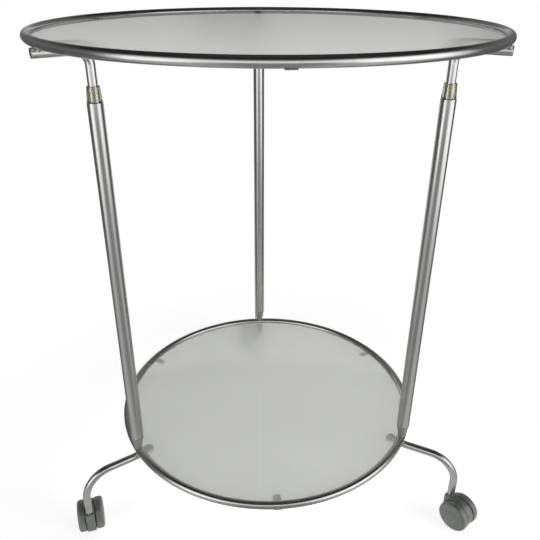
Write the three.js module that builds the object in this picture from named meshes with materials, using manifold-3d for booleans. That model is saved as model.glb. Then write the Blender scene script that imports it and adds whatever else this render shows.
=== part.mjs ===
// Round two-tier side table on castors. Two steel rings hold glass discs, three upright tubes join
// them, and a bent tube under each upright carries a swivelling twin-wheel castor.
// Millimetres, +Z up, wheels on z = 0, origin below the middle of the outline.
import * as THREE from 'three';
import { mergeVertices } from 'three/addons/utils/BufferGeometryUtils.js';
import Module from 'manifold-3d';

const wasm = await Module();
wasm.setup();

// The top ring, measured over the outside, how far the uprights on the shelf ring stand in from
// it, and the heights of the rings' middles above the floor
const top_ring_diameter = 500;
const leg_inset = 47;
const top_ring_height = 604.4;
const shelf_ring_height = 106.9;
const rod_diameter = 9.5;

// Gaps: welded rods lie a seam apart, flat pieces rest on each other, pins press into bores.
// Where an arm crosses a ring, the weld has let the ring's rod sink into the arm.
const seam_gap = 0.3;
const weld_set_down = 0.8;
const face_gap = 0.05;
const press_gap = 0.1;
const cut_overrun = 2;

// Upright tubes
const leg_diameter = 15.8;
const leg_wall = 1.2;

// Upper arms, which leave the uprights and bend out under the top ring
const upper_bend_radius = 14;
const arm_insert_depth = 44;
const arm_end_round = 0.8;

// Plastic collars that centre the upper arms in the uprights
const collar_drop = 41.7;
const collar_height = 14.7;
const collar_top_wall = 1.3;
const collar_base_inset = 0.45;
const collar_plug_depth = 24;
const collar_lip = 0.6;

// Tapered feet that close the uprights' lower ends, and the studs they screw onto
const foot_height = 19.3;
const foot_tip_diameter = 8.4;
const foot_plug_depth = 18;
const foot_saddle_depth = 1.4;
const stud_diameter = 5;
const stud_length = 30;

// Glass discs
const glass_thickness = 4;
const glass_rim_gap = 0.8;
const glass_bevel = 0.6;

// Flat tabs welded under the rings, and the clear discs that the glass rests on
const tab_width = 10;
const tab_thickness = 1.2;
const tab_below_ring = 0.7;
const tab_past_centre = 2.4;
const pad_diameter = 9;
const pad_thickness = 0.5;
const pad_inset = 8;

// Lower arms, which pass under the shelf ring and bend down to castors that stand out this far
const castor_reach = 74.1;
const lower_bend_radius = 34;
const tube_wall = 1.2;
const stub_past_pad = 6;

// Castors
const wheel_diameter = 40;
const wheel_width = 10.4;
const wheel_edge_radius = 3.8;
const wheel_crown = 0.7;
const wheel_face_wall = 2;
const wheel_rim_wall = 2.4;
const wheel_inner_chamfer = 0.6;
const wheel_hub_diameter = 9;
const wheel_gap = 0.5;
const housing_width = 11.5;
const housing_clearance = 0.75;
const housing_nose = 6;
const housing_nose_foot = 11.5;
const housing_corner_radius = 2;
const castor_trail = 14.9;
const axle_diameter = 4;
const axle_bore_gap = 0.1;
const stem_seat_depth = 20;
const stem_rise = 16;
const stem_flange_diameter = 9;
const stem_flange_thickness = 1;
const swivel_gap = 0.6;
const bush_depth = 17;
const bush_wall = 0.8;
const bush_lip = 0.8;

// Facets
const ring_steps = 72;
const ring_sides = 12;
const arm_sides = 12;
const bend_steps = 6;
const leg_sides = 20;
const cone_sides = 16;
const pin_sides = 12;
const wheel_steps = 24;
const edge_steps = 3;
const corner_steps = 3;
const housing_arc_steps = 20;
const tab_end_steps = 6;

// The uprights stand at these bearings, seen from above, with +X to the right and +Y to the back.
// Each castor has come to rest at its own turn: its axle's bearing.
const degree = Math.PI / 180;
const right_angle = Math.PI / 2;
const full_turn = 2 * Math.PI;
const quarter_turn = right_angle / degree;
const legs = [
  { side: 'rear', bearing: 90 * degree, castor_turn: 86 * degree },
  { side: 'left', bearing: 210 * degree, castor_turn: 13.3 * degree },
  { side: 'right', bearing: 330 * degree, castor_turn: -144.3 * degree },
];
const tabs = [
  { side: 'right', bearing: 30 * degree },
  { side: 'left', bearing: 150 * degree },
  { side: 'front', bearing: 270 * degree },
];

// Sizes that follow from the ones above
const rod_radius = rod_diameter / 2;
const top_ring_radius = top_ring_diameter / 2 - rod_radius;
const shelf_ring_radius = top_ring_radius - leg_inset;
const leg_circle_radius = shelf_ring_radius;
const castor_circle_radius = leg_circle_radius + castor_reach;
const leg_radius = leg_diameter / 2;
const leg_bore_radius = leg_radius - leg_wall;
const plug_radius = leg_bore_radius - seam_gap;
const arm_drop = rod_diameter + seam_gap - weld_set_down;
const tab_drop = rod_radius + tab_below_ring;
const glass_drop = tab_drop - tab_thickness - face_gap - pad_thickness - face_gap;
const arm_pad_thickness = arm_drop - rod_radius - face_gap - face_gap - glass_drop;
const rod_bore_radius = rod_radius + seam_gap;
const collar_top_radius = rod_bore_radius + collar_top_wall;
const collar_top = top_ring_height - collar_drop;
const collar_shoulder = collar_top - collar_height;
const leg_top = collar_shoulder - seam_gap;
const foot_tip = shelf_ring_height + rod_radius - foot_saddle_depth;
const foot_shoulder = foot_tip + foot_height;
const leg_bottom = foot_shoulder + seam_gap;
const lower_arm_height = shelf_ring_height - arm_drop;
const axle_height = wheel_diameter / 2;
const housing_radius = axle_height - housing_clearance;
const housing_top = axle_height + housing_radius;
const flange_bottom = housing_top + face_gap;
const flange_top = flange_bottom + stem_flange_thickness;
const arm_end_height = flange_top + swivel_gap + bush_lip;
const bush_radius = rod_radius - tube_wall - press_gap;
const stem_radius = bush_radius - bush_wall - press_gap;
const stem_top = arm_end_height + stem_rise;

// The lower bend leaves the bush a straight seat in the tube's end
const bend_room = lower_arm_height - arm_end_height - bush_depth;
const lower_bend = Math.min(lower_bend_radius, bend_room);

const materials = {
  steel: { color: 0xb9b9b6, roughness: 0.28, metalness: 1 },
  glass: { color: 0xd3d8d3, roughness: 0.35, metalness: 0, transparent: true, opacity: 0.6 },
  clear_plastic: { color: 0xb4b3a2, roughness: 0.4, metalness: 0 },
  foot_plastic: { color: 0x8d877e, roughness: 0.45, metalness: 0 },
  castor_plastic: { color: 0x7c817d, roughness: 0.4, metalness: 0 },
  zinc: { color: 0xa7a9a8, roughness: 0.4, metalness: 1 },
};

// Turns a three.js geometry into a solid that can be cut
function solid_of(geometry) {
  const bare = geometry.clone();
  bare.deleteAttribute('normal');
  bare.deleteAttribute('uv');
  const merged = mergeVertices(bare);
  return new wasm.Manifold(new wasm.Mesh({
    numProp: 3,
    vertProperties: new Float32Array(merged.attributes.position.array),
    triVerts: new Uint32Array(merged.index.array),
  }));
}

// Turns a solid back into a geometry
function geometry_of(solid) {
  const mesh = solid.getMesh();
  const geometry = new THREE.BufferGeometry();
  geometry.setAttribute('position', new THREE.BufferAttribute(mesh.vertProperties, 3));
  geometry.setIndex(new THREE.BufferAttribute(mesh.triVerts, 1));
  geometry.computeVertexNormals();
  return geometry;
}

function add(parent, name, solid, material) {
  const mesh = new THREE.Mesh(geometry_of(solid), new THREE.MeshStandardMaterial(materials[material]));
  mesh.name = name;
  parent.add(mesh);
  return mesh;
}

// Round pieces are faceted. The flats of their facets lie at the stated radii and the corners
// this much further out, and a flat faces each of the four axes.
function corner_scale(sides) {
  return 1 / Math.cos(Math.PI / sides);
}

// A profile of [radius, height] points turned about the Z axis
function revolve(profile, steps) {
  const points = profile.map(([radius, height]) => (
    new THREE.Vector2(radius * corner_scale(steps), height)));
  const lathe = new THREE.LatheGeometry(points, steps, Math.PI / steps);
  return solid_of(lathe.rotateX(right_angle));
}

// A closed profile: the last point joins the first
function revolve_closed(profile, steps) {
  return revolve([...profile, profile[0]], steps);
}

// A straight round piece about the Z axis, which may taper
function pin(radius, bottom, top, sides, top_radius = radius) {
  const scale = corner_scale(sides);
  const cylinder = new THREE.CylinderGeometry(top_radius * scale, radius * scale, top - bottom,
    sides, 1, false, Math.PI / sides);
  return solid_of(cylinder.rotateX(right_angle).translate(0, 0, (top + bottom) / 2));
}

// These lay a round piece that stands on the Z axis along the X or the Y axis
function along_x(solid) {
  return solid.rotate([0, quarter_turn, 0]);
}

function along_y(solid) {
  return solid.rotate([quarter_turn, 0, 0]);
}

function circle_points(radius, sides) {
  const corner_radius = radius * corner_scale(sides);
  return Array.from({ length: sides }, (_, i) => {
    const turn = (i + 1 / 2) / sides * full_turn;
    return new THREE.Vector2(corner_radius * Math.cos(turn), corner_radius * Math.sin(turn));
  });
}

// A path with two straight legs and a right-angled bend between them
class BentPath extends THREE.Curve {
  constructor(start, corner, end, radius, arc_steps) {
    super();
    const back = start.clone().sub(corner).normalize();
    const ahead = end.clone().sub(corner).normalize();
    this.start = start;
    this.end = end;
    this.entry = corner.clone().addScaledVector(back, radius);
    this.leave = corner.clone().addScaledVector(ahead, radius);
    this.centre = this.entry.clone().addScaledVector(ahead, radius);
    this.back = back.multiplyScalar(radius);
    this.ahead = ahead.multiplyScalar(radius);
    this.arc_steps = arc_steps;
    this.steps = arc_steps + 2;
  }

  // Each straight leg is one step and the bend shares the rest
  getPoint(t, target = new THREE.Vector3()) {
    const place = t * this.steps;
    if (place <= 1) {
      return target.lerpVectors(this.start, this.entry, place);
    }
    if (place >= this.steps - 1) {
      return target.lerpVectors(this.leave, this.end, place - this.steps + 1);
    }
    const turn = (place - 1) / this.arc_steps * right_angle;
    target.copy(this.centre).addScaledVector(this.ahead, -Math.cos(turn));
    return target.addScaledVector(this.back, -Math.sin(turn));
  }

  getUtoTmapping(u) {
    return u;
  }
}

function swept(path, radius) {
  const section = new THREE.Shape(circle_points(radius, arm_sides));
  return solid_of(new THREE.ExtrudeGeometry(section, { steps: path.steps, extrudePath: path }));
}

function swept_tube(path, radius, wall) {
  const section = new THREE.Shape(circle_points(radius, arm_sides));
  section.holes.push(new THREE.Path(circle_points(radius - wall, arm_sides)));
  return solid_of(new THREE.ExtrudeGeometry(section, { steps: path.steps, extrudePath: path }));
}

// The rod of a ring that crosses over or under a piece, widened by a gap, as a cutter. It runs
// along Y at the ring's radius, because the rings curve very little across a crossing.
function ring_cutter(radius, height, length) {
  const rod = pin(rod_bore_radius, -length / 2, length / 2, cone_sides);
  return along_y(rod).translate([radius, 0, height]);
}

function ring(radius, height) {
  const torus = new THREE.TorusGeometry(radius, rod_radius, ring_sides, ring_steps);
  return solid_of(torus.translate(0, 0, height));
}

function glass_disc(ring_radius, ring_height) {
  const radius = ring_radius - rod_radius - glass_rim_gap;
  const bottom = ring_height - glass_drop;
  const top = bottom + glass_thickness;
  return revolve([
    [0, bottom],
    [radius - glass_bevel, bottom],
    [radius, bottom + glass_bevel],
    [radius, top - glass_bevel],
    [radius - glass_bevel, top],
    [0, top],
  ], ring_steps);
}

// What the rounding takes off a rod that ends at zero on the Z axis
function end_chamfer() {
  const bottom = -arm_end_round - cut_overrun;
  const cone = pin(rod_radius + cut_overrun, bottom, cut_overrun, arm_sides,
    rod_radius - arm_end_round - cut_overrun);
  return pin(rod_radius + cut_overrun + cut_overrun, bottom, cut_overrun, arm_sides).subtract(cone);
}

// In each leg's frame X points outward from the table's axis
function upper_arm() {
  const height = top_ring_height - arm_drop;
  const tip = new THREE.Vector3(top_ring_diameter / 2, 0, height);
  const corner = new THREE.Vector3(leg_circle_radius, 0, height);
  const foot = new THREE.Vector3(leg_circle_radius, 0, collar_top - arm_insert_depth);
  const rod = swept(new BentPath(tip, corner, foot, upper_bend_radius, bend_steps), rod_radius);
  return rod.subtract(along_x(end_chamfer()).translate([tip.x, 0, height]))
    .subtract(ring_cutter(top_ring_radius, top_ring_height, leg_diameter));
}

function leg_tube() {
  return revolve_closed([
    [leg_bore_radius, leg_bottom],
    [leg_radius, leg_bottom],
    [leg_radius, leg_top],
    [leg_bore_radius, leg_top],
  ], leg_sides);
}

// Cone above the upright with a plug inside it
function collar() {
  return revolve_closed([
    [rod_bore_radius, collar_shoulder - collar_plug_depth],
    [plug_radius, collar_shoulder - collar_plug_depth],
    [plug_radius, collar_shoulder],
    [leg_radius - collar_base_inset, collar_shoulder],
    [collar_top_radius, collar_top - collar_lip],
    [collar_top_radius - collar_lip, collar_top],
    [rod_bore_radius, collar_top],
  ], cone_sides);
}

// Taper below the upright with a plug inside it, saddled onto the shelf ring
function foot() {
  const bore = stud_diameter / 2 + press_gap;
  const taper = revolve_closed([
    [bore, foot_tip],
    [foot_tip_diameter / 2, foot_tip],
    [leg_radius, foot_shoulder],
    [plug_radius, foot_shoulder],
    [plug_radius, foot_shoulder + foot_plug_depth],
    [bore, foot_shoulder + foot_plug_depth],
  ], cone_sides);
  return taper.subtract(ring_cutter(0, shelf_ring_height, leg_diameter));
}

function stud() {
  const rod = pin(stud_diameter / 2, foot_tip, foot_tip + stud_length, pin_sides);
  return rod.subtract(ring_cutter(0, shelf_ring_height, leg_diameter));
}

// Flat tab with a round inner end, saddled under its ring
function tab(ring_radius, ring_height) {
  const end_radius = tab_width / 2;
  const pad_radius = ring_radius - rod_radius - pad_inset;
  const outline = new THREE.Shape();
  outline.moveTo(ring_radius + tab_past_centre, -end_radius);
  outline.lineTo(ring_radius + tab_past_centre, end_radius);
  outline.lineTo(pad_radius, end_radius);
  outline.absarc(pad_radius, 0, end_radius, right_angle, -right_angle, false);
  const plate = new THREE.ExtrudeGeometry(outline, {
    depth: tab_thickness,
    bevelEnabled: false,
    curveSegments: tab_end_steps,
  });
  const placed = solid_of(plate.translate(0, 0, ring_height - tab_drop));
  return placed.subtract(ring_cutter(ring_radius, ring_height, tab_width + cut_overrun));
}

// Clear disc between a tab or an arm and the glass
function pad(ring_radius, ring_height, thickness) {
  const top = ring_height - glass_drop - face_gap;
  return pin(pad_diameter / 2, top - thickness, top, pin_sides)
    .translate([ring_radius - rod_radius - pad_inset, 0, 0]);
}

function lower_arm() {
  const tip_radius = shelf_ring_radius - rod_radius - pad_inset - stub_past_pad;
  const tip = new THREE.Vector3(tip_radius, 0, lower_arm_height);
  const corner = new THREE.Vector3(castor_circle_radius, 0, lower_arm_height);
  const end = new THREE.Vector3(castor_circle_radius, 0, arm_end_height);
  const path = new BentPath(tip, corner, end, lower_bend, bend_steps);
  return swept_tube(path, rod_radius, tube_wall)
    .subtract(ring_cutter(shelf_ring_radius, shelf_ring_height, leg_diameter));
}

// Castor pieces stand in the castor's own frame: stem on Z, wheels trailing towards +Y
function bush() {
  const bore = stem_radius + press_gap;
  return revolve_closed([
    [bore, arm_end_height - bush_lip],
    [rod_radius, arm_end_height - bush_lip],
    [rod_radius, arm_end_height - face_gap],
    [bush_radius, arm_end_height - face_gap],
    [bush_radius, arm_end_height + bush_depth],
    [bore, arm_end_height + bush_depth],
  ], pin_sides);
}

function stem() {
  return revolve([
    [0, housing_top - stem_seat_depth + press_gap],
    [stem_radius, housing_top - stem_seat_depth + press_gap],
    [stem_radius, flange_bottom],
    [stem_flange_diameter / 2, flange_bottom],
    [stem_flange_diameter / 2, flange_top],
    [stem_radius, flange_top],
    [stem_radius, stem_top],
    [0, stem_top],
  ], pin_sides);
}

// Middle body between the wheels: round behind, with an upright nose around the stem
function housing() {
  const nose = castor_trail + housing_nose;
  const drop = axle_height - housing_nose_foot;
  const reach = Math.hypot(nose, drop);
  const tangent = Math.PI + Math.atan2(drop, nose) + Math.acos(housing_radius / reach);
  const outline = new THREE.Shape();
  outline.moveTo(-nose, housing_nose_foot);
  outline.lineTo(-nose, housing_top - housing_corner_radius);
  const corner_middle = [-nose + housing_corner_radius, housing_top - housing_corner_radius];
  for (let i = 1; i <= corner_steps; i += 1) {
    const turn = Math.PI - i / corner_steps * right_angle;
    outline.lineTo(corner_middle[0] + housing_corner_radius * Math.cos(turn),
      corner_middle[1] + housing_corner_radius * Math.sin(turn));
  }
  for (let i = 0; i <= housing_arc_steps; i += 1) {
    const turn = right_angle + i / housing_arc_steps * (tangent - full_turn - right_angle);
    outline.lineTo(housing_radius * Math.cos(turn), axle_height + housing_radius * Math.sin(turn));
  }
  const block = new THREE.ExtrudeGeometry(outline, { depth: housing_width, bevelEnabled: false });
  block.translate(0, 0, -housing_width / 2);
  block.rotateX(right_angle);
  block.rotateZ(right_angle);
  block.translate(0, castor_trail, 0);
  const stem_bore = pin(stem_radius + press_gap, housing_top - stem_seat_depth,
    housing_top + cut_overrun, pin_sides);
  const axle_bore = pin(axle_diameter / 2 + press_gap, -housing_width, housing_width, pin_sides);
  const placed_bore = along_x(axle_bore).translate([0, castor_trail, axle_height]);
  return solid_of(block).subtract(stem_bore).subtract(placed_bore);
}

function axle() {
  const half_length = housing_width / 2 + wheel_gap + wheel_width - wheel_face_wall - seam_gap;
  return along_x(pin(axle_diameter / 2, -half_length, half_length, pin_sides));
}

// Cup-shaped wheel about Z, open face at zero, its hub reaching nearly to the housing
function wheel() {
  const radius = wheel_diameter / 2;
  const bore = axle_diameter / 2 + axle_bore_gap;
  const hub = wheel_hub_diameter / 2;
  const rim = radius - wheel_rim_wall;
  const floor = wheel_width - wheel_face_wall;
  const shoulder = wheel_width - wheel_crown;
  const edge = Array.from({ length: edge_steps + 1 }, (_, i) => {
    const turn = i / edge_steps * right_angle;
    return [
      radius - wheel_edge_radius + wheel_edge_radius * Math.cos(turn),
      shoulder - wheel_edge_radius + wheel_edge_radius * Math.sin(turn),
    ];
  });
  return revolve([
    [0, floor],
    [bore, floor],
    [bore, seam_gap - wheel_gap],
    [hub, seam_gap - wheel_gap],
    [hub, floor],
    [rim, floor],
    [rim, 0],
    [radius - wheel_inner_chamfer, 0],
    [radius, wheel_inner_chamfer],
    ...edge,
    [0, wheel_width],
  ], wheel_steps);
}

const table = new THREE.Group();
const assembly = new THREE.Group();
table.add(assembly);

const levels = [
  ['top', top_ring_radius, top_ring_height],
  ['shelf', shelf_ring_radius, shelf_ring_height],
];
for (const [level, radius, height] of levels) {
  add(assembly, `${level}_ring`, ring(radius, height), 'steel');
  add(assembly, `${level}_glass`, glass_disc(radius, height), 'glass');
}

for (const { side, bearing } of tabs) {
  const frame = new THREE.Group();
  frame.rotation.z = bearing;
  assembly.add(frame);
  for (const [level, radius, height] of levels) {
    add(frame, `${level}_tab_${side}`, tab(radius, height), 'steel');
    add(frame, `${level}_tab_pad_${side}`, pad(radius, height, pad_thickness), 'clear_plastic');
  }
}

for (const { side, bearing, castor_turn } of legs) {
  const frame = new THREE.Group();
  frame.rotation.z = bearing;
  assembly.add(frame);
  add(frame, `upper_arm_${side}`, upper_arm(), 'steel');
  add(frame, `lower_arm_${side}`, lower_arm(), 'steel');
  for (const [level, radius, height] of levels) {
    add(frame, `${level}_arm_pad_${side}`, pad(radius, height, arm_pad_thickness), 'clear_plastic');
  }
  const upright = new THREE.Group();
  upright.position.x = leg_circle_radius;
  frame.add(upright);
  add(upright, `collar_${side}`, collar(), 'clear_plastic');
  add(upright, `leg_tube_${side}`, leg_tube(), 'steel');
  add(upright, `foot_${side}`, foot(), 'foot_plastic');
  add(upright, `leg_stud_${side}`, stud(), 'zinc');

  const castor = new THREE.Group();
  castor.position.x = castor_circle_radius;
  frame.add(castor);
  add(castor, `stem_bush_${side}`, bush(), 'castor_plastic');
  const swivel = new THREE.Group();
  swivel.rotation.z = castor_turn - bearing;
  castor.add(swivel);
  add(swivel, `castor_stem_${side}`, stem(), 'zinc');
  add(swivel, `castor_housing_${side}`, housing(), 'castor_plastic');
  const hub_line = new THREE.Group();
  hub_line.position.set(0, castor_trail, axle_height);
  swivel.add(hub_line);
  add(hub_line, `castor_axle_${side}`, axle(), 'zinc');
  for (const [name, facing] of [['a', 1], ['b', -1]]) {
    const hub = new THREE.Group();
    hub.position.x = facing * (housing_width / 2 + wheel_gap);
    hub.rotation.y = facing * right_angle;
    hub_line.add(hub);
    add(hub, `castor_wheel_${name}_${side}`, wheel(), 'castor_plastic');
  }
}

// The outline's middle, which the castors' resting turns shift a little, lies over the origin
const outline_middle = new THREE.Box3().setFromObject(assembly, true).getCenter(new THREE.Vector3());
assembly.position.set(-outline_middle.x, -outline_middle.y, 0);

export default table;
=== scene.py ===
"""Round two-tier glass bar cart: steel rings, tube legs, bent arms and twin-wheel castors.

Metres, in the frame's own axes. Most round CAD nodes are stood for by a finely stepped piece of
the same size, with the small edges and finishes that the solids leave out.
"""
import math

import bmesh
import bpy
from mathutils import Matrix, Vector


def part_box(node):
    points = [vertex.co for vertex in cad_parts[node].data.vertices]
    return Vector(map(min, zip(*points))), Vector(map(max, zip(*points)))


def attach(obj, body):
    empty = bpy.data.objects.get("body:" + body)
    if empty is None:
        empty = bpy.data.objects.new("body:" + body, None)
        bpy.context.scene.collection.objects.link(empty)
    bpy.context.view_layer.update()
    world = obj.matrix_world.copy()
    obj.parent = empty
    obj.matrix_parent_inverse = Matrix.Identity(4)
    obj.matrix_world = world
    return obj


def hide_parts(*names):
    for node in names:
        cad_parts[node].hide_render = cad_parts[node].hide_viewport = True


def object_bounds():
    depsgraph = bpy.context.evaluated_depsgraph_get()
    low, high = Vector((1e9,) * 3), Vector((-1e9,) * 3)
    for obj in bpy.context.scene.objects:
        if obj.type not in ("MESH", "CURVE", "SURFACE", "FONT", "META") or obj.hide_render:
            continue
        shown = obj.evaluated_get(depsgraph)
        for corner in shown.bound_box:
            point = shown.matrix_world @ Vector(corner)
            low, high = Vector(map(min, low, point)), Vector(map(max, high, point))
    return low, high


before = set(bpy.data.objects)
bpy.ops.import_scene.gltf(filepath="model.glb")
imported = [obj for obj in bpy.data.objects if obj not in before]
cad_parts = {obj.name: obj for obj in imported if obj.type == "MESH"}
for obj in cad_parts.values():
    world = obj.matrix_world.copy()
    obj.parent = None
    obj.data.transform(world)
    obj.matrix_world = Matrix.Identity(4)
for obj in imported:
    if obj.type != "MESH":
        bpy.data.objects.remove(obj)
cad_low, cad_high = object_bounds()

MM = 0.001
DEGREE = math.pi / 180
FULL_TURN = 2 * math.pi
SIDES = ("rear", "left", "right")
TAB_SIDES = ("right", "left", "front")

# Steps of the round pieces
RING_STEPS = 256
ROD_STEPS = 32
LATHE_STEPS = 64
BEND_STEPS = 20
FILLET_STEPS = 4
SHARP_ANGLE = 38 * DEGREE

# Beside each rounded edge lies one more row of points, so that the edge's shading stays its own
GUARD = 0.04 * MM


# Places and sizes read from the frame
def middle(node):
    low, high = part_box(node)
    return (low + high) / 2


def half_size(node):
    low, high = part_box(node)
    return (high - low) / 2


AXIS = middle("top_ring").xy
ROD_RADIUS = half_size("top_ring").z
LEG_RADIUS = half_size("leg_tube_rear").x
LEG_INSET_RADIUS = (middle("leg_tube_rear").xy - AXIS).length
CASTOR_RADIUS = (middle("castor_stem_rear").xy - AXIS).length
LEVELS = {
    level: (half_size(f"{level}_ring").x - ROD_RADIUS, middle(f"{level}_ring").z)
    for level in ("top", "shelf")
}


def turned(place, angle):
    """A frame at place, in the plan, turned by angle about the vertical."""
    return Matrix.Translation(Vector((place.x, place.y, 0))) @ Matrix.Rotation(angle, 4, "Z")


def radial_frame(node):
    """The table's axis, with X turned towards the node."""
    out = middle(node).xy - AXIS
    return turned(AXIS, math.atan2(out.y, out.x))


def castor_frame(side):
    """The castor's stem, with Y pointing from it towards the axle."""
    stem = middle(f"castor_stem_{side}").xy
    trail = middle(f"castor_axle_{side}").xy - stem
    return turned(stem, math.atan2(-trail.x, trail.y))


TRAIL = (middle("castor_axle_rear").xy - middle("castor_stem_rear").xy).length
AXLE_HEIGHT = middle("castor_axle_rear").z


# Meshes
def surface_mesh(name, rows, closed=False):
    """Joins rows of points by quads. A row of one point is a pole, and other rows are rings."""
    vertices, faces, starts = [], [], []
    for row in rows:
        starts.append(len(vertices))
        vertices.extend(Vector(point) for point in row)
    pairs = list(zip(range(len(rows)), range(1, len(rows))))
    if closed:
        pairs.append((len(rows) - 1, 0))
    for a, b in pairs:
        count = max(len(rows[a]), len(rows[b]))
        for i in range(count):
            j = (i + 1) % count
            if len(rows[a]) == 1:
                faces.append((starts[a], starts[b] + j, starts[b] + i))
            elif len(rows[b]) == 1:
                faces.append((starts[a] + i, starts[a] + j, starts[b]))
            else:
                faces.append((starts[a] + i, starts[a] + j, starts[b] + j, starts[b] + i))
    mesh = bpy.data.meshes.new(name)
    mesh.from_pydata(vertices, [], faces)
    return mesh


def piece(name, rows, closed, material, body, node, place):
    mesh = surface_mesh(name, rows, closed)
    mesh.transform(place)
    face_outwards(mesh)
    mesh.polygons.foreach_set("use_smooth", [True] * len(mesh.polygons))
    mesh.set_sharp_from_angle(angle=SHARP_ANGLE)
    mesh.materials.append(material)
    made = bpy.data.objects.new(name, mesh)
    bpy.context.scene.collection.objects.link(made)
    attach(made, body)
    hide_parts(node)
    return made


def face_outwards(mesh):
    body = bmesh.new()
    body.from_mesh(mesh)
    bmesh.ops.recalc_face_normals(body, faces=body.faces)
    body.to_mesh(mesh)
    body.free()


def circle(centre, across, up, radius, steps=ROD_STEPS):
    """A ring of points, turning from across towards up."""
    points = []
    for i in range(steps):
        turn = i / steps * FULL_TURN
        points.append(centre + radius * (math.cos(turn) * across + math.sin(turn) * up))
    return points


def lathe(profile, steps=LATHE_STEPS):
    """Rows of a profile of (radius, height) points turned about Z. It runs up the outside."""
    rows = []
    for radius, height in profile:
        centre = Vector((0, 0, height))
        if radius == 0:
            rows.append([centre])
        else:
            rows.append(circle(centre, Vector((1, 0, 0)), Vector((0, 1, 0)), radius, steps))
    return rows


def filleted(corners, steps=FILLET_STEPS, closed=False):
    """A flat outline whose corners, given as (x, y) or (x, y, radius), are rounded by arcs."""
    outline = []
    count = len(corners)
    for i, corner in enumerate(corners):
        here = Vector(corner[:2])
        radius = corner[2] if len(corner) > 2 else 0
        if radius == 0 or (not closed and i in (0, count - 1)):
            outline.append(here)
            continue
        back = (Vector(corners[i - 1][:2]) - here).normalized()
        ahead = (Vector(corners[(i + 1) % count][:2]) - here).normalized()
        half_angle = back.angle(ahead) / 2
        entry = here + back * radius / math.tan(half_angle)
        leave = here + ahead * radius / math.tan(half_angle)
        centre = here + (back + ahead).normalized() * radius / math.sin(half_angle)
        outline.append(entry + back * GUARD)
        for step in range(steps + 1):
            spoke = (entry - centre).slerp(leave - centre, step / steps)
            outline.append(centre + spoke.normalized() * radius)
        outline.append(leave + ahead * GUARD)
    return outline


def bent_path(start, corner, end, radius):
    """Points and directions along two straight legs with a bend, in the X-Z plane."""
    start, corner, end = Vector(start), Vector(corner), Vector(end)
    back, ahead = (start - corner).normalized(), (end - corner).normalized()
    entry, leave = corner + back * radius, corner + ahead * radius
    centre = entry + ahead * radius
    path = [(start, -back), (entry + back * GUARD, -back)]
    for i in range(BEND_STEPS + 1):
        turn = i / BEND_STEPS * math.pi / 2
        point = centre - ahead * radius * math.cos(turn) - back * radius * math.sin(turn)
        path.append((point, -back * math.cos(turn) + ahead * math.sin(turn)))
    path.extend([(leave + ahead * GUARD, ahead), (end, ahead)])
    return path


def section(point, direction, radius):
    """The ring of a rod at a point of a path in the X-Z plane."""
    across = Vector((-direction.y, 0, direction.x))
    return circle(Vector((point.x, 0, point.y)), across, Vector((0, 1, 0)), radius)


def rounded_end(point, outward, direction, radius, rounding, is_start):
    """Rows that close a rod with a rounded edge and a flat end."""
    rows = []
    for step in range(FILLET_STEPS + 1):
        turn = step / FILLET_STEPS * math.pi / 2
        reach = rounding * (1 - math.sin(turn))
        rim = radius - rounding * (1 - math.cos(turn))
        rows.append(section(point - outward * reach, direction, rim))
    rows.insert(0, section(point - outward * (rounding + GUARD), direction, radius))
    rows.append(section(point, direction, radius - rounding - GUARD))
    rows.append([Vector((point.x, 0, point.y))])
    return rows[::-1] if is_start else rows


def rod_rows(path, radius, rounding):
    """A solid rod along a path, with rounded ends."""
    (start, first), (end, last) = path[0], path[-1]
    inner = [section(point, direction, radius) for point, direction in path[1:-1]]
    head = rounded_end(start, -first, first, radius, rounding, True)
    tail = rounded_end(end, last, last, radius, rounding, False)
    return head + inner + tail


def rim_rows(point, outward, direction, rims):
    """The four rings of a tube's end: its rims, the first and the last a little way in."""
    depth = abs(rims[1] - rims[0])
    return [
        section(point - outward * inside, direction, rim)
        for rim, inside in zip(rims, (depth, 0, 0, depth))
    ]


def tube_rows(path, radius, wall, rounding):
    """An open tube along a path, with softened rims: out along its outside, back inside."""
    (start, first), (end, last) = path[0], path[-1]
    bore = radius - wall
    rims = (bore, bore + rounding, radius - rounding, radius)
    rows = rim_rows(start, -first, first, rims)
    rows.extend(section(point, direction, radius) for point, direction in path[1:-1])
    rows.extend(rim_rows(end, last, last, rims[::-1]))
    rows.extend(section(point, direction, bore) for point, direction in path[-2:0:-1])
    return rows


def inset(outline, distance):
    """A convex outline, drawn in by a distance."""
    drawn = []
    for i, point in enumerate(outline):
        before, after = outline[i - 1], outline[(i + 1) % len(outline)]
        a, b = (point - before).normalized(), (after - point).normalized()
        normal_a, normal_b = Vector((-a.y, a.x)), Vector((-b.y, b.x))
        bisector = (normal_a + normal_b).normalized()
        drawn.append(point + bisector * distance / max(bisector.dot(normal_a), 0.5))
    return drawn


def plate_rows(outline, low, high, edge):
    """A convex outline, counter-clockwise in X-Y, made thick from low to high with round edges."""
    rows = []
    for sign, level in ((1, low), (-1, high)):
        side = []
        for step in range(FILLET_STEPS + 1):
            turn = step / FILLET_STEPS * math.pi / 2
            depth = edge * (1 - math.sin(turn))
            lift = level + sign * edge * (1 - math.cos(turn))
            side.append([Vector((p.x, p.y, lift)) for p in inset(outline, depth)])
        side.insert(0, [Vector((p.x, p.y, level)) for p in inset(outline, edge + GUARD)])
        side.append([Vector((p.x, p.y, level + sign * (edge + GUARD))) for p in outline])
        rows.extend(side if sign == 1 else side[::-1])
    centre = sum(outline, Vector((0, 0))) / len(outline)
    rows.insert(0, [Vector((centre.x, centre.y, low))])
    rows.append([Vector((centre.x, centre.y, high))])
    return rows


# Materials
def new_material(name):
    material = bpy.data.materials.new(name)
    material.use_nodes = True
    nodes = material.node_tree.nodes
    return material, nodes, material.node_tree.links, nodes["Principled BSDF"]


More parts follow.
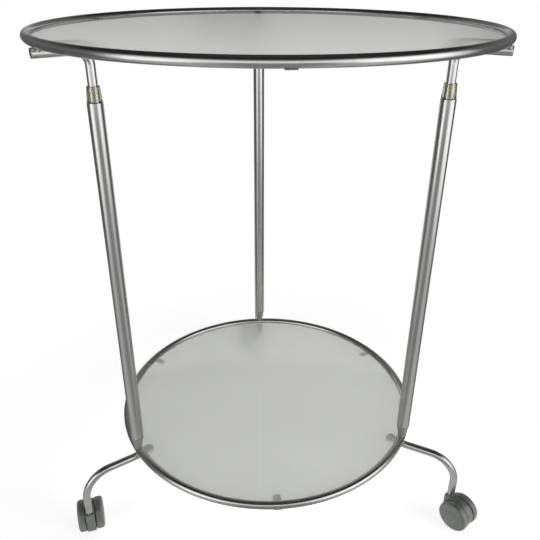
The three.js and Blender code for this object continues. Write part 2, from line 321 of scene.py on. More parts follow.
def noise(nodes, links, scale, detail=3.0, stretch=(1, 1, 1)):
    """Noise in the object's own coordinates, in patterns per metre."""
    where = nodes.new("ShaderNodeTexCoord")
    mapping = nodes.new("ShaderNodeMapping")
    mapping.inputs["Scale"].default_value = stretch
    texture = nodes.new("ShaderNodeTexNoise")
    texture.inputs["Scale"].default_value = scale
    texture.inputs["Detail"].default_value = detail
    links.new(where.outputs["Object"], mapping.inputs["Vector"])
    links.new(mapping.outputs["Vector"], texture.inputs["Vector"])
    return texture.outputs["Fac"]


def ramp(nodes, links, source, stops):
    """A colour ramp from (position, grey or colour) stops."""
    node = nodes.new("ShaderNodeValToRGB")
    elements = node.color_ramp.elements
    while len(elements) < len(stops):
        elements.new(0.5)
    for element, (position, value) in zip(elements, stops):
        element.position = position
        element.color = (*value, 1) if isinstance(value, tuple) else (value, value, value, 1)
    links.new(source, node.inputs["Fac"])
    return node.outputs["Color"]


def spread(nodes, links, source, low, high):
    """Maps a noise's middle range onto low to high."""
    node = nodes.new("ShaderNodeMapRange")
    node.inputs["From Min"].default_value = 0.3
    node.inputs["From Max"].default_value = 0.7
    node.inputs["To Min"].default_value = low
    node.inputs["To Max"].default_value = high
    links.new(source, node.inputs["Value"])
    return node.outputs["Result"]


def math_node(nodes, links, operation, a, b):
    """The result of one operation on two values, each a number or another node's output."""
    node = nodes.new("ShaderNodeMath")
    node.operation = operation
    for i, value in enumerate((a, b)):
        if isinstance(value, (int, float)):
            node.inputs[i].default_value = value
        else:
            links.new(value, node.inputs[i])
    return node.outputs[0]


def bump(nodes, links, source, shader, distance, strength=1.0):
    node = nodes.new("ShaderNodeBump")
    node.inputs["Strength"].default_value = strength
    node.inputs["Distance"].default_value = distance
    links.new(source, node.inputs["Height"])
    links.new(node.outputs["Normal"], shader.inputs["Normal"])


def steel_material(name, scale, stretch):
    """Satin nickel plate with a soft cloudy roughness, drawn out along the piece or not."""
    material, nodes, links, shader = new_material(name)
    shader.inputs["Metallic"].default_value = 1
    clouds = noise(nodes, links, scale, 3.0, stretch)
    links.new(
        ramp(nodes, links, clouds, [
            (0.22, (0.5, 0.495, 0.485)), (0.34, (0.65, 0.645, 0.637)), (0.7, (0.72, 0.716, 0.706)),
        ]),
        shader.inputs["Base Color"],
    )
    links.new(spread(nodes, links, clouds, 0.23, 0.17), shader.inputs["Roughness"])
    bump(nodes, links, noise(nodes, links, 1500, 2.0), shader, 0.004 * MM, 0.5)
    return material


def zinc_material(name, low, high):
    """Zinc plate, clouded and rougher than the nickel."""
    material, nodes, links, shader = new_material(name)
    shader.inputs["Metallic"].default_value = 1
    clouds = noise(nodes, links, 300)
    links.new(ramp(nodes, links, clouds, [(0.3, low), (0.7, high)]), shader.inputs["Base Color"])
    links.new(spread(nodes, links, clouds, 0.3, 0.42), shader.inputs["Roughness"])
    return material


def plastic_material(name, low, high, roughness, grain, transmission=0.0, specular=0.5):
    """Moulded plastic: a slightly clouded colour, and a fine grain unless grain is 0."""
    material, nodes, links, shader = new_material(name)
    clouds = noise(nodes, links, 150)
    links.new(ramp(nodes, links, clouds, [(0.3, low), (0.7, high)]), shader.inputs["Base Color"])
    links.new(
        spread(nodes, links, noise(nodes, links, 500), roughness - 0.04, roughness + 0.04),
        shader.inputs["Roughness"],
    )
    shader.inputs["Transmission Weight"].default_value = transmission
    shader.inputs["Specular IOR Level"].default_value = specular
    if grain:
        bump(nodes, links, noise(nodes, links, grain, 2.0), shader, 0.02 * MM, 0.25)
    return material


def glass_material(name, roughness, tint_painted_lighter_right, clearness):
    """Glass with a faint cloudiness, and painted light that makes its colour lighter towards the
    right.
    """
    material, nodes, links, shader = new_material(name)
    where = nodes.new("ShaderNodeTexCoord")
    split = nodes.new("ShaderNodeSeparateXYZ")
    links.new(where.outputs["Object"], split.inputs["Vector"])
    # Painted light: the colour grows lighter towards the right.
    across = math_node(nodes, links, "MULTIPLY", split.outputs["X"], 2)
    clouds = math_node(nodes, links, "ADD", noise(nodes, links, 8), across)
    low, high = tint_painted_lighter_right
    links.new(ramp(nodes, links, clouds, [(0.1, low), (0.9, high)]), shader.inputs["Base Color"])
    shader.inputs["Transmission Weight"].default_value = clearness
    shader.inputs["IOR"].default_value = 1.5
    links.new(
        spread(nodes, links, noise(nodes, links, 700), roughness - 0.01, roughness + 0.01),
        shader.inputs["Roughness"],
    )
    return material


STEEL = steel_material("satin_nickel", 60, (1, 1, 1))
# The tabs under the rings get a darker metal than the rings' nickel.
TAB_STEEL = zinc_material("tab_dark_metal", (0.2, 0.2, 0.195), (0.27, 0.27, 0.26))
DRAWN_STEEL = steel_material("drawn_nickel", 260, (1, 1, 0.04))
# Zinc colour, partly darkened as painted shade for the stem in the dark gap under the tube's end;
# the studs and axles share it.
ZINC_WITH_PAINTED_SHADE = zinc_material("zinc_with_painted_shade", (0.3, 0.3, 0.31), (0.42, 0.42, 0.42))
CLEAR_PLASTIC = plastic_material(
    "smoky_plastic", (0.74, 0.72, 0.62), (0.84, 0.82, 0.72), 0.12, 0, transmission=1.0)
PAD_PLASTIC = plastic_material(
    "milky_plastic", (0.5, 0.51, 0.42), (0.56, 0.57, 0.48), 0.25, 0, transmission=0.3)
FOOT_PLASTIC = plastic_material(
    "foot_plastic", (0.175, 0.169, 0.154), (0.21, 0.203, 0.187), 0.36, 1500)
CASTOR_PLASTIC = plastic_material(
    "castor_plastic", (0.13, 0.137, 0.129), (0.16, 0.168, 0.158), 0.3, 1800, specular=0.9)
# Glass colours from the left end to the right end; the lighter right end is painted light.
GLASS_TINT_PAINTED_LIGHTER_RIGHT = (0.865, 0.875, 0.845), (0.92, 0.93, 0.9)
SHELF_TINT_PAINTED_LIGHTER_RIGHT = (0.9, 0.91, 0.88), (0.95, 0.96, 0.93)
GLASS_POLISHED = glass_material("glass_polished", 0.03, GLASS_TINT_PAINTED_LIGHTER_RIGHT, 1)
GLASS_ETCHED = {
    "top": glass_material("glass_etched_top", 0.42, GLASS_TINT_PAINTED_LIGHTER_RIGHT, 1),
    "shelf": glass_material("glass_etched_shelf", 0.42, SHELF_TINT_PAINTED_LIGHTER_RIGHT, 0.34),
}


# Rings and glass
GLASS_EDGE = 0.5 * MM
TOP_FACING = 0.99
PAD_EDGE = 0.12 * MM
PAD_HOLE_RADIUS = 1.3 * MM
TAB_EDGE = 0.15 * MM


def ring_rows(radius, height):
    rows = []
    for i in range(RING_STEPS):
        turn = i / RING_STEPS * FULL_TURN
        out = Vector((math.cos(turn), math.sin(turn), 0))
        centre = radius * out + Vector((0, 0, height))
        rows.append(circle(centre, out, Vector((0, 0, 1)), ROD_RADIUS))
    return rows


def make_level(level):
    radius, height = LEVELS[level]
    place = turned(AXIS, 0)
    piece(f"{level}_rim", ring_rows(radius, height), True, STEEL, "frame",
          f"{level}_ring", place)
    low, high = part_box(f"{level}_glass")
    pane_radius = (high.x - low.x) / 2
    profile = filleted([
        (0, low.z), (pane_radius, low.z, GLASS_EDGE), (pane_radius, high.z, GLASS_EDGE),
        (0, high.z),
    ])
    pane = piece(f"{level}_pane", lathe(profile, RING_STEPS), False, GLASS_POLISHED, "frame",
                 f"{level}_glass", place)
    pane.data.materials.append(GLASS_ETCHED[level])
    for face in pane.data.polygons:
        if face.normal.z < TOP_FACING:
            face.material_index = 1


def make_tab(level, side):
    node = f"{level}_tab_{side}"
    place = radial_frame(node)
    low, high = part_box(f"{level}_tab_front")
    width = high.x - low.x
    outer = AXIS.y - low.y
    pad_reach = abs(middle(f"{level}_tab_pad_front").y - AXIS.y)
    half = width / 2
    outline = [Vector((outer, -half)), Vector((outer, half))]
    for step in range(LATHE_STEPS // 2 + 1):
        turn = math.pi / 2 + step / (LATHE_STEPS // 2) * math.pi
        outline.append(Vector((pad_reach + half * math.cos(turn), half * math.sin(turn))))
    piece(f"{node}_plate", plate_rows(outline, low.z, high.z, TAB_EDGE), False, TAB_STEEL,
          "frame", node, place)


def make_pad(node):
    """A clear disc with a small hole in its middle."""
    low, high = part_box(node)
    radius = half_size("top_tab_pad_front").x
    profile = filleted([
        (PAD_HOLE_RADIUS, low.z), (radius, low.z, PAD_EDGE), (radius, high.z, PAD_EDGE),
        (PAD_HOLE_RADIUS, high.z, PAD_EDGE),
    ], closed=True)
    piece(f"{node}_disc", lathe(profile), True, PAD_PLASTIC, "frame", node,
          turned(middle(node).xy, 0))


for level_name in LEVELS:
    make_level(level_name)
    for tab_side in TAB_SIDES:
        make_tab(level_name, tab_side)
        make_pad(f"{level_name}_tab_pad_{tab_side}")
    for leg_side in SIDES:
        make_pad(f"{level_name}_arm_pad_{leg_side}")


# Uprights and arms
UPPER_BEND_RADIUS = 14 * MM
LOWER_BEND_RADIUS = 34 * MM
ARM_ROUNDING = 0.8 * MM
ARM_WALL = 1.2 * MM
ARM_RIM = 0.25 * MM
LEG_WALL = 1.2 * MM
LEG_RIM = 0.35 * MM
COLLAR_BORE = ROD_RADIUS + 0.15 * MM
COLLAR_TOP_RADIUS = 6.35 * MM
COLLAR_BASE_INSET = 0.45 * MM
COLLAR_EDGE = 0.6 * MM
COLLAR_JOINT = 0.7 * MM
COLLAR_HEIGHT = 14.7 * MM
SEAM = 0.5 * MM
FOOT_TIP_RADIUS = 4.2 * MM
FOOT_PLUG_HEIGHT = 18 * MM
FOOT_EDGE = 0.35 * MM


def make_upper_arm(side):
    node = f"upper_arm_{side}"
    low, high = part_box("upper_arm_rear")
    height = high.z - ROD_RADIUS
    tip = high.y - AXIS.y
    path = bent_path((tip, height), (LEG_INSET_RADIUS, height), (LEG_INSET_RADIUS, low.z),
                     UPPER_BEND_RADIUS)
    piece(f"{node}_rod", rod_rows(path, ROD_RADIUS, ARM_ROUNDING), False, STEEL, "frame",
          node, radial_frame(f"leg_tube_{side}"))


def make_lower_arm(side):
    node = f"lower_arm_{side}"
    low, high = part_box("lower_arm_rear")
    height = high.z - ROD_RADIUS
    inner = low.y - AXIS.y
    path = bent_path((inner, height), (CASTOR_RADIUS, height), (CASTOR_RADIUS, low.z),
                     LOWER_BEND_RADIUS)
    piece(f"{node}_tube", tube_rows(path, ROD_RADIUS, ARM_WALL, ARM_RIM), True, STEEL, "frame",
          node, radial_frame(f"leg_tube_{side}"))


def make_leg(side):
    node = f"leg_tube_{side}"
    low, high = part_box(node)
    bore = LEG_RADIUS - LEG_WALL
    profile = filleted([
        (bore, low.z), (LEG_RADIUS, low.z, LEG_RIM), (LEG_RADIUS, high.z, LEG_RIM), (bore, high.z),
    ], closed=True)
    piece(f"leg_{side}", lathe(profile), True, DRAWN_STEEL, "frame", node,
          turned(middle(node).xy, 0))


def make_collar(side):
    """A translucent cone that centres the arm, with a plug inside the upright."""
    node = f"collar_{side}"
    low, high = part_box(node)
    shoulder = high.z - COLLAR_HEIGHT
    plug = LEG_RADIUS - LEG_WALL - SEAM
    base = LEG_RADIUS - COLLAR_BASE_INSET
    profile = filleted([
        (COLLAR_BORE, low.z), (plug, low.z), (plug, shoulder + COLLAR_JOINT),
        (base, shoulder + COLLAR_JOINT, COLLAR_EDGE / 2),
        (COLLAR_TOP_RADIUS, high.z, COLLAR_EDGE), (COLLAR_BORE, high.z),
    ], closed=True)
    piece(f"{node}_cone", lathe(profile), True, CLEAR_PLASTIC, "frame", node,
          turned(middle(node).xy, 0))


def make_foot(side):
    """A taper with a plug inside the upright, saddled onto the shelf ring's rod."""
    node = f"foot_{side}"
    low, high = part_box(node)
    shoulder = high.z - FOOT_PLUG_HEIGHT
    plug = LEG_RADIUS - LEG_WALL - SEAM
    ring_height = LEVELS["shelf"][1]
    profile = filleted([
        (0, low.z), (FOOT_TIP_RADIUS, low.z), (LEG_RADIUS, shoulder, FOOT_EDGE), (plug, shoulder),
        (plug, high.z), (0, high.z),
    ])
    rows = lathe(profile)
    slope = (LEG_RADIUS - FOOT_TIP_RADIUS) / (shoulder - low.z)
    saddle_radius = ROD_RADIUS + SEAM / 2
    for point in rows[0] + rows[1]:
        saddle = ring_height + math.sqrt(max(saddle_radius**2 - point.x**2, 0))
        lift = max(saddle - low.z, 0)
        point.z = low.z + lift
        if point.xy.length > 0:
            point.xy = point.xy * (1 + lift * slope / FOOT_TIP_RADIUS)
    piece(f"{node}_taper", rows, False, FOOT_PLASTIC, "frame", node,
          radial_frame(f"leg_tube_{side}") @ Matrix.Translation((LEG_INSET_RADIUS, 0, 0)))


for leg_side in SIDES:
    make_upper_arm(leg_side)
    make_lower_arm(leg_side)
    make_leg(leg_side)
    make_collar(leg_side)
    make_foot(leg_side)
    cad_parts[f"leg_stud_{leg_side}"].data.materials[0] = ZINC_WITH_PAINTED_SHADE


# Castors
WHEEL_WIDTH = 10.4 * MM
WHEEL_GAP = 0.5 * MM
WHEEL_CROWN = 0.7 * MM
WHEEL_EDGE = 3.8 * MM
WHEEL_INNER_EDGE = 1 * MM
WHEEL_FACE_WALL = 2 * MM
WHEEL_RIM_WALL = 2.4 * MM
WHEEL_HUB_RADIUS = 4.5 * MM
AXLE_BORE_RADIUS = 2.1 * MM
HOUSING_WIDTH = 11.5 * MM
HOUSING_CLEARANCE = 0.75 * MM
HOUSING_NOSE = 6 * MM
HOUSING_NOSE_FOOT = 11.5 * MM
HOUSING_CORNER = 2 * MM
HOUSING_EDGE = 1.1 * MM
HOUSING_INSET = 0.3 * MM
WHEEL_FACE_STEPS = 8
STEM_RADIUS = 2.55 * MM
STEM_FLANGE_RADIUS = 4.5 * MM
STEM_FLANGE_THICKNESS = 1 * MM
BUSH_LIP = 0.8 * MM


def make_wheel(side, name, facing):
    node = f"castor_wheel_{name}_{side}"
    radius = AXLE_HEIGHT
    rim = radius - WHEEL_RIM_WALL
    floor = WHEEL_WIDTH - WHEEL_FACE_WALL
    shoulder = WHEEL_WIDTH - WHEEL_CROWN
    hub_end = -WHEEL_GAP / 2
    face_radius = radius - WHEEL_EDGE
    corners = [
        (0, floor), (AXLE_BORE_RADIUS, floor), (AXLE_BORE_RADIUS, hub_end),
        (WHEEL_HUB_RADIUS, hub_end), (WHEEL_HUB_RADIUS, floor), (rim, floor), (rim, 0),
        (radius, 0, WHEEL_INNER_EDGE), (radius, shoulder - WHEEL_EDGE),
    ]
    profile = filleted(corners)
    for step in range(1, 2 * FILLET_STEPS + 1):
        turn = step / (2 * FILLET_STEPS) * math.pi / 2
        profile.append(Vector((face_radius + WHEEL_EDGE * math.cos(turn),
                               shoulder - WHEEL_EDGE + WHEEL_EDGE * math.sin(turn))))
    for step in range(1, WHEEL_FACE_STEPS + 1):
        share = step / WHEEL_FACE_STEPS
        rise = WHEEL_CROWN * math.sin(share * math.pi / 2)
        profile.append(Vector((face_radius * (1 - share), shoulder + rise)))
    profile[-1].x = 0
    lay = Matrix.Rotation(facing * math.pi / 2, 4, "Y")
    hub = Matrix.Translation((facing * (HOUSING_WIDTH / 2 + WHEEL_GAP), TRAIL, AXLE_HEIGHT))
    piece(f"wheel_{name}_{side}_tyre", lathe(profile, RING_STEPS // 2), False, CASTOR_PLASTIC,
          f"wheel_{name}_{side}", node, castor_frame(side) @ hub @ lay)


def make_housing(side):
    """The body between the wheels, drawn in the Y-Z plane: round behind, upright at the nose."""
    radius = AXLE_HEIGHT - HOUSING_CLEARANCE
    top = AXLE_HEIGHT + radius
    nose = TRAIL + HOUSING_NOSE
    drop = AXLE_HEIGHT - HOUSING_NOSE_FOOT
    tangent = math.pi + math.atan2(drop, nose) + math.acos(radius / math.hypot(nose, drop))
    outline = filleted([
        (0, top), (-nose, top, HOUSING_CORNER), (-nose, HOUSING_NOSE_FOOT), (0, HOUSING_NOSE_FOOT),
    ], 2 * FILLET_STEPS)[1:-1]
    for step in range(LATHE_STEPS + 1):
        turn = tangent + step / LATHE_STEPS * (FULL_TURN + math.pi / 2 - tangent)
        outline.append(Vector((radius * math.cos(turn), AXLE_HEIGHT + radius * math.sin(turn))))
    half = HOUSING_WIDTH / 2 - HOUSING_INSET
    upright = Matrix.Rotation(math.pi / 2, 4, "Z") @ Matrix.Rotation(math.pi / 2, 4, "X")
    piece(f"housing_{side}", plate_rows(outline, -half, half, HOUSING_EDGE), False,
          CASTOR_PLASTIC, f"castor_{side}", f"castor_housing_{side}",
          castor_frame(side) @ Matrix.Translation((0, TRAIL, 0)) @ upright)


def make_stem(side):
    node = f"castor_stem_{side}"
    low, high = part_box(node)
    flange = AXLE_HEIGHT * 2 - HOUSING_CLEARANCE
    profile = filleted([
        (0, low.z), (STEM_RADIUS, low.z), (STEM_RADIUS, flange), (STEM_FLANGE_RADIUS, flange),
        (STEM_FLANGE_RADIUS, flange + STEM_FLANGE_THICKNESS, LEG_RIM),
        (STEM_RADIUS, flange + STEM_FLANGE_THICKNESS), (STEM_RADIUS, high.z, LEG_RIM), (0, high.z),
    ])
    piece(f"{node}_pin", lathe(profile), False, ZINC_WITH_PAINTED_SHADE, f"castor_{side}", node,
          turned(middle(node).xy, 0))


def make_bush(side):
    node = f"stem_bush_{side}"
    low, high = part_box(node)
    bore = STEM_RADIUS + SEAM / 4
    inner = ROD_RADIUS - ARM_WALL - SEAM / 4
    profile = filleted([
        (bore, low.z), (ROD_RADIUS, low.z, ARM_RIM), (ROD_RADIUS, low.z + BUSH_LIP, ARM_RIM / 2),
        (inner, low.z + BUSH_LIP), (inner, high.z), (bore, high.z),
    ], closed=True)
    piece(f"{node}_sleeve", lathe(profile), True, CASTOR_PLASTIC, "frame",
          node, turned(middle(node).xy, 0))


for leg_side in SIDES:
    make_housing(leg_side)
    make_stem(leg_side)
    make_bush(leg_side)
    for wheel_name, wheel_facing in (("a", 1), ("b", -1)):
        make_wheel(leg_side, wheel_name, wheel_facing)
    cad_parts[f"castor_axle_{leg_side}"].data.materials[0] = ZINC_WITH_PAINTED_SHADE


# Stage, light and camera
def tent_row(rear, back, side, left, front, right, dip=1.0):
    """Light around the tent at one height, from the rear over the left to the rear again, with
    back for the two bright fields beside the rear."""
    return [
        (0.0, rear * dip), (0.014, rear * dip), (0.03, back), (0.08, back), (0.12, side),
        (0.3, side), (0.34, left), (0.38, left), (0.45, front), (0.55, front), (0.6, right),
        (0.69, right), (0.74, side), (0.88, side), (0.92, back), (0.97, back), (0.986, rear),
        (1.0, rear * dip),
    ]


WHITE = (1, 1, 1, 1)
FLOOR_RADIUS = 6
FLOOR_FADE_START = 0.28
FLOOR_FADE_END = 0.5
FLOOR_SHADED = 0.9
FLOOR_LIFT = 0.6
FLOOR_MATT = 0.8
FLOOR_GLOW = 0.3
FLOOR_VEILED = 0.08
# What reflections see of the floor: painted light, brighter and darker by turn around the cart.
FLOOR_MIRRORED = (
    (0.0, 0.3), (0.02, 0.3), (0.03, 0.7), (0.08, 0.7), (0.12, 0.22), (0.25, 0.13),
    (0.31, 0.42), (0.38, 0.47), (0.46, 0.24), (0.54, 0.24), (0.6, 0.5), (0.67, 0.48),
    (0.74, 0.13), (0.88, 0.22), (0.92, 0.7), (0.97, 0.7), (0.98, 0.3), (1.0, 0.3),
)
SPREAD_LOSS = 0.4
TENT_RADIUS = 1.0
TENT_FOOT = -0.01
TENT_HEIGHT = 1.3
TENT_CROWN = 0.03
TENT_CROWN_REACH = 0.6
TENT_ROWS = (
    (0.0, tent_row(0.3, 0.75, 0.13, 0.5, 0.3, 0.55)),
    (0.29, tent_row(0.3, 0.8, 0.1, 1.45, 0.22, 1.35)),
    (0.37, tent_row(0.3, 0.8, 0.1, 1.4, 0.4, 1.35)),
    (0.46, tent_row(0.2, 0.45, 0.11, 1.35, 0.95, 1.4)),
    (0.645, tent_row(0.12, 0.12, 0.13, 1.3, 1.0, 1.5)),
    (0.665, tent_row(0.42, 0.42, 0.15, 1.3, 0.95, 1.5, 0.75)),
    (0.76, tent_row(0.66, 0.66, 0.15, 1.2, 0.85, 1.4, 0.92)),
    (0.79, tent_row(0.14, 0.14, 0.14, 1.0, 0.7, 1.3)),
    (0.92, tent_row(0.16, 0.16, 0.13, 0.7, 0.4, 0.9)),
    (1.05, tent_row(0.14, 0.14, 0.1, 0.25, 0.12, 0.3)),
    (1.24, tent_row(0.12, 0.12, 0.06, 0.05, 0.03, 0.05)),
    (1.29, tent_row(0.02, 0.02, 0.02, 0.02, 0.02, 0.02)),
)
FILL_LEVEL = 0.16
FILL_OVERHEAD = 0.02
LAMP_DISTANCE = 1.4
LAMP_HEIGHT = 0.23
LAMP_WIDTH = 0.9
LAMP_RISE = 0.42
LAMP_POWER = 10
CAMERA_PLACE = Vector((-46.02, -683.70, 667.71)) * MM
CAMERA_PITCH = 27.164 * DEGREE
CAMERA_HEADING = -3.808 * DEGREE
CAMERA_ROLL = 0.219 * DEGREE
PHOTO_WIDTH = 540
PHOTO_FOCAL = 595.13
PHOTO_CENTRE = (266.92, 266.41)
SENSOR = 36


def seen_ray(nodes, links, kinds):
    """One where the ray is of any of the kinds."""
    path = nodes.new("ShaderNodeLightPath")
    total = path.outputs[kinds[0]]
    for kind in kinds[1:]:
        total = math_node(nodes, links, "MAXIMUM", total, path.outputs[kind])
    return total


def has_glanced(nodes, links):
    """One for a ray that has been mirrored on its way, less where a matt surface spread it."""
    path = nodes.new("ShaderNodeLightPath")
    mirrored = math_node(nodes, links, "GREATER_THAN", path.outputs["Glossy Depth"], 0.5)
    spread = math_node(nodes, links, "GREATER_THAN", path.outputs["Diffuse Depth"], 0.5)
    loss = math_node(nodes, links, "MULTIPLY", spread, SPREAD_LOSS)
    kept = math_node(nodes, links, "SUBTRACT", 1, loss)
    return math_node(nodes, links, "MULTIPLY", mirrored, kept)


def make_world():
    world = bpy.data.worlds.new("studio")
    world.use_nodes = True
    world.cycles.sampling_method = "NONE"
    nodes, links = world.node_tree.nodes, world.node_tree.links
    nodes.clear()
    fill = nodes.new("ShaderNodeBackground")
    where = nodes.new("ShaderNodeTexCoord")
    split = nodes.new("ShaderNodeSeparateXYZ")
    links.new(where.outputs["Generated"], split.inputs["Vector"])
    links.new(ramp(nodes, links, split.outputs["Z"], [(0.2, FILL_LEVEL), (0.9, FILL_OVERHEAD)]),
              fill.inputs["Color"])
    white = nodes.new("ShaderNodeBackground")
    white.inputs["Color"].default_value = WHITE
    mix = nodes.new("ShaderNodeMixShader")
    kinds = ("Is Camera Ray", "Is Glossy Ray", "Is Transmission Ray")
    links.new(seen_ray(nodes, links, kinds), mix.inputs["Fac"])
    links.new(fill.outputs[0], mix.inputs[1])
    links.new(white.outputs[0], mix.inputs[2])
    output = nodes.new("ShaderNodeOutputWorld")
    links.new(mix.outputs[0], output.inputs["Surface"])
    bpy.context.scene.world = world


def stage_place(nodes, links):
    """Where a point of the stage lies: its turn from the back over the right, the front and the
    left to the back again, from 1 to 0 with 0.5 at the front, and its height."""
    where = nodes.new("ShaderNodeTexCoord")
    split = nodes.new("ShaderNodeSeparateXYZ")
    links.new(where.outputs["Object"], split.inputs["Vector"])
    forward = math_node(nodes, links, "MULTIPLY", split.outputs["Y"], -1)
    turn = math_node(nodes, links, "ARCTAN2", split.outputs["X"], forward)
    share = math_node(nodes, links, "DIVIDE", turn, FULL_TURN)
    return math_node(nodes, links, "ADD", share, 0.5), split.outputs["Z"]


def stage_reach(nodes, links):
    """How far a point of the stage lies from the upright through its middle."""
    where = nodes.new("ShaderNodeTexCoord")
    level = nodes.new("ShaderNodeVectorMath")
    level.operation = "MULTIPLY"
    level.inputs[1].default_value = (1, 1, 0)
    links.new(where.outputs["Object"], level.inputs[0])
    reach = nodes.new("ShaderNodeVectorMath")
    reach.operation = "LENGTH"
    links.new(level.outputs["Vector"], reach.inputs[0])
    return reach.outputs["Value"]


def stage_object(name, profile, material):
    """A profile turned about the table's axis."""
    mesh = surface_mesh(name, lathe(profile))
    mesh.materials.append(material)
    made = bpy.data.objects.new(name, mesh)
    made.location = (AXIS.x, AXIS.y, 0)
    bpy.context.scene.collection.objects.link(made)
    return made


def emission_material(name):
    material = bpy.data.materials.new(name)
    material.use_nodes = True
    nodes, links = material.node_tree.nodes, material.node_tree.links
    nodes.clear()
    light = nodes.new("ShaderNodeEmission")
    output = nodes.new("ShaderNodeOutputMaterial")
    links.new(light.outputs[0], output.inputs["Surface"])
    material.cycles.emission_sampling = "NONE"
    return material, nodes, links, light


def make_tent():
    """A light tent that only reflections see: bright at both sides of the front, paler in two
    fields behind, and dark above."""
    material, nodes, links, light = emission_material("tent")
    share, height = stage_place(nodes, links)
    below, shade = None, None
    for level, stops in TENT_ROWS:
        row = ramp(nodes, links, share, stops)
        if shade is None:
            below, shade = level, row
            continue
        rising = nodes.new("ShaderNodeMapRange")
        rising.inputs["From Min"].default_value = below
        rising.inputs["From Max"].default_value = level
        links.new(height, rising.inputs["Value"])
        mix = nodes.new("ShaderNodeMix")
        links.new(rising.outputs["Result"], mix.inputs["Factor"])
        links.new(shade, mix.inputs["A"])
        links.new(row, mix.inputs["B"])
        below, shade = level, mix.outputs["Result"]
    crown = nodes.new("ShaderNodeMapRange")
    crown.inputs["From Max"].default_value = TENT_CROWN_REACH
    crown.inputs["To Min"].default_value = TENT_CROWN
    crown.inputs["To Max"].default_value = 0
    links.new(stage_reach(nodes, links), crown.inputs["Value"])
    links.new(math_node(nodes, links, "ADD", shade, crown.outputs["Result"]),
              light.inputs["Strength"])
    clear = nodes.new("ShaderNodeBsdfTransparent")
    seen = nodes.new("ShaderNodeMixShader")
    links.new(has_glanced(nodes, links), seen.inputs["Fac"])
    links.new(clear.outputs[0], seen.inputs[1])
    links.new(light.outputs[0], seen.inputs[2])
    links.new(seen.outputs[0], nodes["Material Output"].inputs["Surface"])
    profile = [(TENT_RADIUS, TENT_FOOT), (TENT_RADIUS, TENT_HEIGHT), (0, TENT_HEIGHT)]
    tent = stage_object("tent", profile, material)
    for kind in ("camera", "diffuse", "shadow", "volume_scatter"):
        setattr(tent, f"visible_{kind}", False)


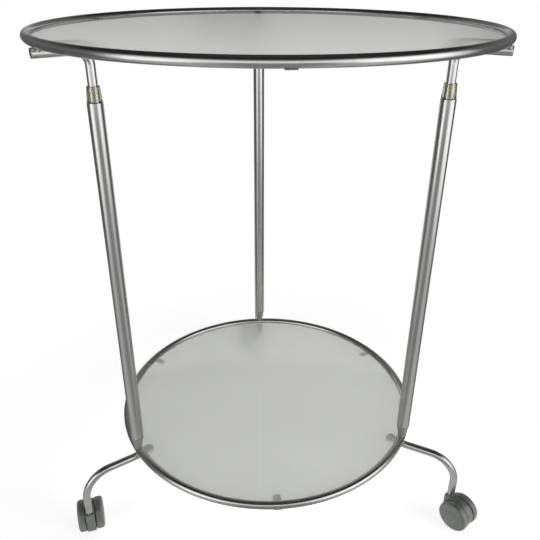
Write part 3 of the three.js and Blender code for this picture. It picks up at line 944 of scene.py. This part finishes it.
def make_floor():
    """White floor: shaded near the cart so that it keeps the shadow, plain white far away."""
    material = bpy.data.materials.new("floor")
    material.use_nodes = True
    nodes, links = material.node_tree.nodes, material.node_tree.links
    nodes.clear()
    share, _ = stage_place(nodes, links)
    fade = nodes.new("ShaderNodeMapRange")
    fade.inputs["From Min"].default_value = FLOOR_FADE_START
    fade.inputs["From Max"].default_value = FLOOR_FADE_END
    links.new(stage_reach(nodes, links), fade.inputs["Value"])
    matt = nodes.new("ShaderNodeBsdfDiffuse")
    matt.inputs["Color"].default_value = (FLOOR_MATT, FLOOR_MATT, FLOOR_MATT, 1)
    glow = nodes.new("ShaderNodeEmission")
    glow.inputs["Strength"].default_value = FLOOR_GLOW
    base = nodes.new("ShaderNodeAddShader")
    links.new(matt.outputs[0], base.inputs[0])
    links.new(glow.outputs[0], base.inputs[1])
    shaded = nodes.new("ShaderNodeBsdfDiffuse")
    shaded.inputs["Color"].default_value = (FLOOR_SHADED, FLOOR_SHADED, FLOOR_SHADED, 1)
    lift = nodes.new("ShaderNodeEmission")
    lift.inputs["Strength"].default_value = FLOOR_LIFT
    plain = nodes.new("ShaderNodeEmission")
    lifted = nodes.new("ShaderNodeAddShader")
    links.new(shaded.outputs[0], lifted.inputs[0])
    links.new(lift.outputs[0], lifted.inputs[1])
    seen = nodes.new("ShaderNodeMixShader")
    through = nodes.new("ShaderNodeLightPath").outputs["Is Transmission Ray"]
    far = math_node(nodes, links, "MAXIMUM", fade.outputs["Result"], through)
    links.new(far, seen.inputs["Fac"])
    links.new(lifted.outputs[0], seen.inputs[1])
    links.new(plain.outputs[0], seen.inputs[2])
    lit = nodes.new("ShaderNodeMixShader")
    links.new(seen_ray(nodes, links, ("Is Camera Ray", "Is Transmission Ray")), lit.inputs["Fac"])
    links.new(base.outputs[0], lit.inputs[1])
    links.new(seen.outputs[0], lit.inputs[2])
    mirrored = nodes.new("ShaderNodeEmission")
    links.new(ramp(nodes, links, share, FLOOR_MIRRORED), mirrored.inputs["Color"])
    whole = nodes.new("ShaderNodeMixShader")
    veiled = math_node(nodes, links, "MULTIPLY", through, FLOOR_VEILED)
    bare = math_node(nodes, links, "SUBTRACT", 1, veiled)
    glanced = math_node(nodes, links, "MULTIPLY", has_glanced(nodes, links), bare)
    links.new(glanced, whole.inputs["Fac"])
    links.new(lit.outputs[0], whole.inputs[1])
    links.new(mirrored.outputs[0], whole.inputs[2])
    output = nodes.new("ShaderNodeOutputMaterial")
    links.new(whole.outputs[0], output.inputs["Surface"])
    material.cycles.emission_sampling = "NONE"
    stage_object("floor", [(FLOOR_RADIUS, 0), (0, 0)], material)


def make_lamp(name, azimuth, share, shows_through_glass):
    """A wide soft lamp with a share of LAMP_POWER, azimuth from the front towards the right."""
    lamp = bpy.data.lights.new(name, "AREA")
    lamp.shape = "RECTANGLE"
    lamp.size = LAMP_WIDTH
    lamp.size_y = LAMP_RISE
    lamp.energy = share * LAMP_POWER
    made = bpy.data.objects.new(name, lamp)
    turn = azimuth * DEGREE
    out = Vector((math.sin(turn), -math.cos(turn), 0)) * LAMP_DISTANCE
    made.location = Vector((AXIS.x, AXIS.y, LAMP_HEIGHT)) + out
    aim = Vector((AXIS.x, AXIS.y, cad_high.z / 2)) - made.location
    made.rotation_euler = aim.to_track_quat("-Z", "Y").to_euler()
    made.visible_camera = False
    made.visible_glossy = False
    made.visible_transmission = shows_through_glass
    bpy.context.scene.collection.objects.link(made)


def make_camera():
    camera = bpy.data.cameras.new("camera")
    camera.sensor_width = SENSOR
    camera.lens = PHOTO_FOCAL / PHOTO_WIDTH * SENSOR
    camera.shift_x = (PHOTO_WIDTH / 2 - PHOTO_CENTRE[0]) / PHOTO_WIDTH
    camera.shift_y = (PHOTO_CENTRE[1] - PHOTO_WIDTH / 2) / PHOTO_WIDTH
    made = bpy.data.objects.new("camera", camera)
    place = Matrix.Translation(CAMERA_PLACE + Vector((AXIS.x, AXIS.y, 0)))
    heading = Matrix.Rotation(CAMERA_HEADING, 4, "Z")
    pitch = Matrix.Rotation(math.pi / 2 - CAMERA_PITCH, 4, "X")
    made.matrix_world = place @ heading @ pitch @ Matrix.Rotation(CAMERA_ROLL, 4, "Z")
    bpy.context.scene.collection.objects.link(made)
    bpy.context.scene.camera = made


make_world()
make_tent()
make_floor()
make_lamp("lamp_left", -58, 1.1, True)
make_lamp("lamp_right", 62, 1.6, True)
make_lamp("lamp_rear_left", -130, 0.6, False)
make_lamp("lamp_rear_right", 125, 0.8, False)
make_camera()
bpy.context.scene.view_settings.view_transform = "Standard"
